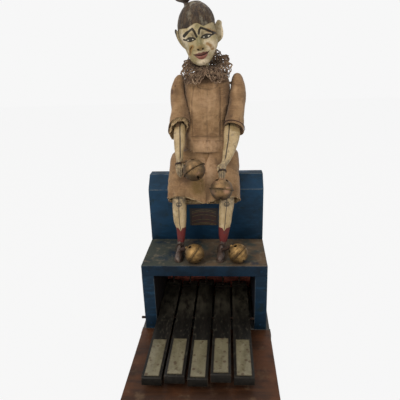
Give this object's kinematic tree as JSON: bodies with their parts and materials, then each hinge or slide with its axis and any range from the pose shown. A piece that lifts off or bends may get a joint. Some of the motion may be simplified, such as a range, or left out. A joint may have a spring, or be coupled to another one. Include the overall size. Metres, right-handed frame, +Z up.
{
  "type": "hand played puppet bell ringer",
  "caption": "Wooden clown puppet on a stepped blue case that nods, lifts its limbs and jingles crotal bells when the lever keys in front are pressed.",
  "frame": {"origin": "middle of the underside of the base boards, which is also the middle of the whole row seen from above", "axes": "+X to the right of someone who faces the keys, +Y from the keys to the back of the case, +Z up"},
  "size_m": [0.156, 0.236, 0.3895],
  "materials": {
    "base_varnish": "worn reddish brown varnish over pine",
    "case_paint": "Prussian blue paint, worn grey at the edges, dusty on top",
    "case_inner": "bare darkened wood",
    "key_stain": "black stain, dusty",
    "key_plate": "aged celluloid, spotted with rust",
    "steel_wire": "drawn steel wire, darkened",
    "iron": "rusted iron",
    "red_felt": "red wool felt",
    "label_print": "printed paper, darkened",
    "linen": "tan linen, creased",
    "lace": "taupe cotton lace",
    "limb_paint": "ivory oil paint, red socks and brown shoes",
    "face_paint": "ivory oil paint with a painted face and dark hair",
    "hair_paint": "dark brown oil paint",
    "brass": "stamped sheet brass, tarnished"
  },
  "bodies": {
    "stand": {"apron_board": "base_varnish", "plinth_board": "base_varnish", "joint_straps": "iron", "side_board_left": "case_paint", "side_board_right": "case_paint", "shelf_board": "case_paint", "front_panel": "case_paint", "slope_board": "case_paint", "seat_cap": "case_paint", "back_board": "case_paint", "felt_lining": "red_felt", "front_label": "label_print", "rod_guide": "case_inner", "case_nails": "iron", "key_axle": "steel_wire", "rest_rail": "case_inner", "rest_pads": "red_felt", "torso_block": "case_inner", "neck_pin": "steel_wire", "romper": "linen", "lace_collar": "lace"},
    "key_1": {"key_1": "key_stain", "key_plate_1": "key_plate"},
    "rod_1": {"push_rod_1": "steel_wire"},
    "key_2": {"key_2": "key_stain", "key_plate_2": "key_plate"},
    "rod_2": {"push_rod_2": "steel_wire"},
    "key_3": {"key_3": "key_stain", "key_plate_3": "key_plate"},
    "rod_3": {"push_rod_3": "steel_wire"},
    "key_4": {"key_4": "key_stain", "key_plate_4": "key_plate"},
    "rod_4": {"push_rod_4": "steel_wire"},
    "key_5": {"key_5": "key_stain", "key_plate_5": "key_plate"},
    "rod_5": {"push_rod_5": "steel_wire"},
    "head": {"head": "face_paint", "topknot": "hair_paint", "nod_lever": "steel_wire"},
    "arm_left": {"upper_arm_left": "case_inner", "sleeve_left": "linen", "shoulder_crank_left": "steel_wire"},
    "forearm_left": {"forearm_left": "limb_paint", "hand_bell_left": "brass"},
    "leg_left": {"thigh_left": "case_inner", "trouser_leg_left": "linen", "hip_crank_left": "steel_wire"},
    "shin_left": {"lower_leg_left": "limb_paint", "foot_bell_left": "brass"},
    "arm_right": {"upper_arm_right": "case_inner", "sleeve_right": "linen", "shoulder_crank_right": "steel_wire"},
    "forearm_right": {"forearm_right": "limb_paint", "hand_bell_right": "brass"},
    "leg_right": {"thigh_right": "case_inner", "trouser_leg_right": "linen", "hip_crank_right": "steel_wire"},
    "shin_right": {"lower_leg_right": "limb_paint", "foot_bell_right": "brass"}
  },
  "joints": [
    {"name": "key_1_press", "type": "hinge", "parent": "stand", "child": "key_1", "pos_m": [-0.0476, 0.0035, 0.0235], "axis": [1, 0, 0], "range_deg": [0, 3.4]},
    {"name": "key_2_press", "type": "hinge", "parent": "stand", "child": "key_2", "pos_m": [-0.025, 0.0035, 0.0235], "axis": [1, 0, 0], "range_deg": [0, 3.4]},
    {"name": "key_3_press", "type": "hinge", "parent": "stand", "child": "key_3", "pos_m": [-0.0024, 0.0035, 0.0235], "axis": [1, 0, 0], "range_deg": [0, 2.2]},
    {"name": "key_4_press", "type": "hinge", "parent": "stand", "child": "key_4", "pos_m": [0.0202, 0.0035, 0.0235], "axis": [1, 0, 0], "range_deg": [0, 3.4]},
    {"name": "key_5_press", "type": "hinge", "parent": "stand", "child": "key_5", "pos_m": [0.0428, 0.0035, 0.0235], "axis": [1, 0, 0], "range_deg": [0, 3.4]},
    {"name": "rod_1_lift", "type": "slide", "parent": "stand", "child": "rod_1", "axis": [0, 0, 1], "range_m": [0, 0.00446]},
    {"name": "rod_2_lift", "type": "slide", "parent": "stand", "child": "rod_2", "axis": [0, 0, 1], "range_m": [0, 0.00446]},
    {"name": "rod_3_lift", "type": "slide", "parent": "stand", "child": "rod_3", "axis": [0, 0, 1], "range_m": [0, 0.00288]},
    {"name": "rod_4_lift", "type": "slide", "parent": "stand", "child": "rod_4", "axis": [0, 0, 1], "range_m": [0, 0.00446]},
    {"name": "rod_5_lift", "type": "slide", "parent": "stand", "child": "rod_5", "axis": [0, 0, 1], "range_m": [0, 0.00446]},
    {"name": "shoulder_left", "type": "hinge", "parent": "stand", "child": "arm_left", "pos_m": [-0.0303, 0.0865, 0.2925], "axis": [1, 0, 0], "range_deg": [-33.9, 0]},
    {"name": "shoulder_right", "type": "hinge", "parent": "stand", "child": "arm_right", "pos_m": [0.0402, 0.0865, 0.2925], "axis": [1, 0, 0], "range_deg": [-33.9, 0]},
    {"name": "hip_left", "type": "hinge", "parent": "stand", "child": "leg_left", "pos_m": [-0.0275, 0.0905, 0.196], "axis": [1, 0, 0], "range_deg": [-21.8, 0]},
    {"name": "hip_right", "type": "hinge", "parent": "stand", "child": "leg_right", "pos_m": [0.0335, 0.0905, 0.196], "axis": [1, 0, 0], "range_deg": [-21.8, 0]},
    {"name": "head_nod", "type": "hinge", "parent": "stand", "child": "head", "pos_m": [0.004, 0.0955, 0.2935], "axis": [1, 0, 0], "range_deg": [-9.8, 0]},
    {"name": "elbow_left", "type": "hinge", "parent": "arm_left", "child": "forearm_left", "pos_m": [-0.0303, 0.068, 0.241], "axis": [1, 0, 0], "range_deg": [-35, 0]},
    {"name": "knee_left", "type": "hinge", "parent": "leg_left", "child": "shin_left", "pos_m": [-0.0303, 0.05, 0.162], "axis": [1, 0, 0], "range_deg": [-20, 0]},
    {"name": "elbow_right", "type": "hinge", "parent": "arm_right", "child": "forearm_right", "pos_m": [0.0402, 0.068, 0.241], "axis": [1, 0, 0], "range_deg": [-35, 0]},
    {"name": "knee_right", "type": "hinge", "parent": "leg_right", "child": "shin_right", "pos_m": [0.0265, 0.05, 0.162], "axis": [1, 0, 0], "range_deg": [-20, 0]}
  ],
  "couplings": [
    {"joint": "rod_1_lift", "follows": "key_1_press", "m_per_rad": 0.075},
    {"joint": "rod_2_lift", "follows": "key_2_press", "m_per_rad": 0.075},
    {"joint": "rod_3_lift", "follows": "key_3_press", "m_per_rad": 0.075},
    {"joint": "rod_4_lift", "follows": "key_4_press", "m_per_rad": 0.075},
    {"joint": "rod_5_lift", "follows": "key_5_press", "m_per_rad": 0.075},
    {"joint": "shoulder_left", "follows": "key_1_press", "ratio": -9.942},
    {"joint": "shoulder_right", "follows": "key_5_press", "ratio": -9.942},
    {"joint": "hip_left", "follows": "key_2_press", "ratio": -6.403},
    {"joint": "hip_right", "follows": "key_4_press", "ratio": -6.403},
    {"joint": "head_nod", "follows": "key_3_press", "ratio": -4.433}
  ]
}
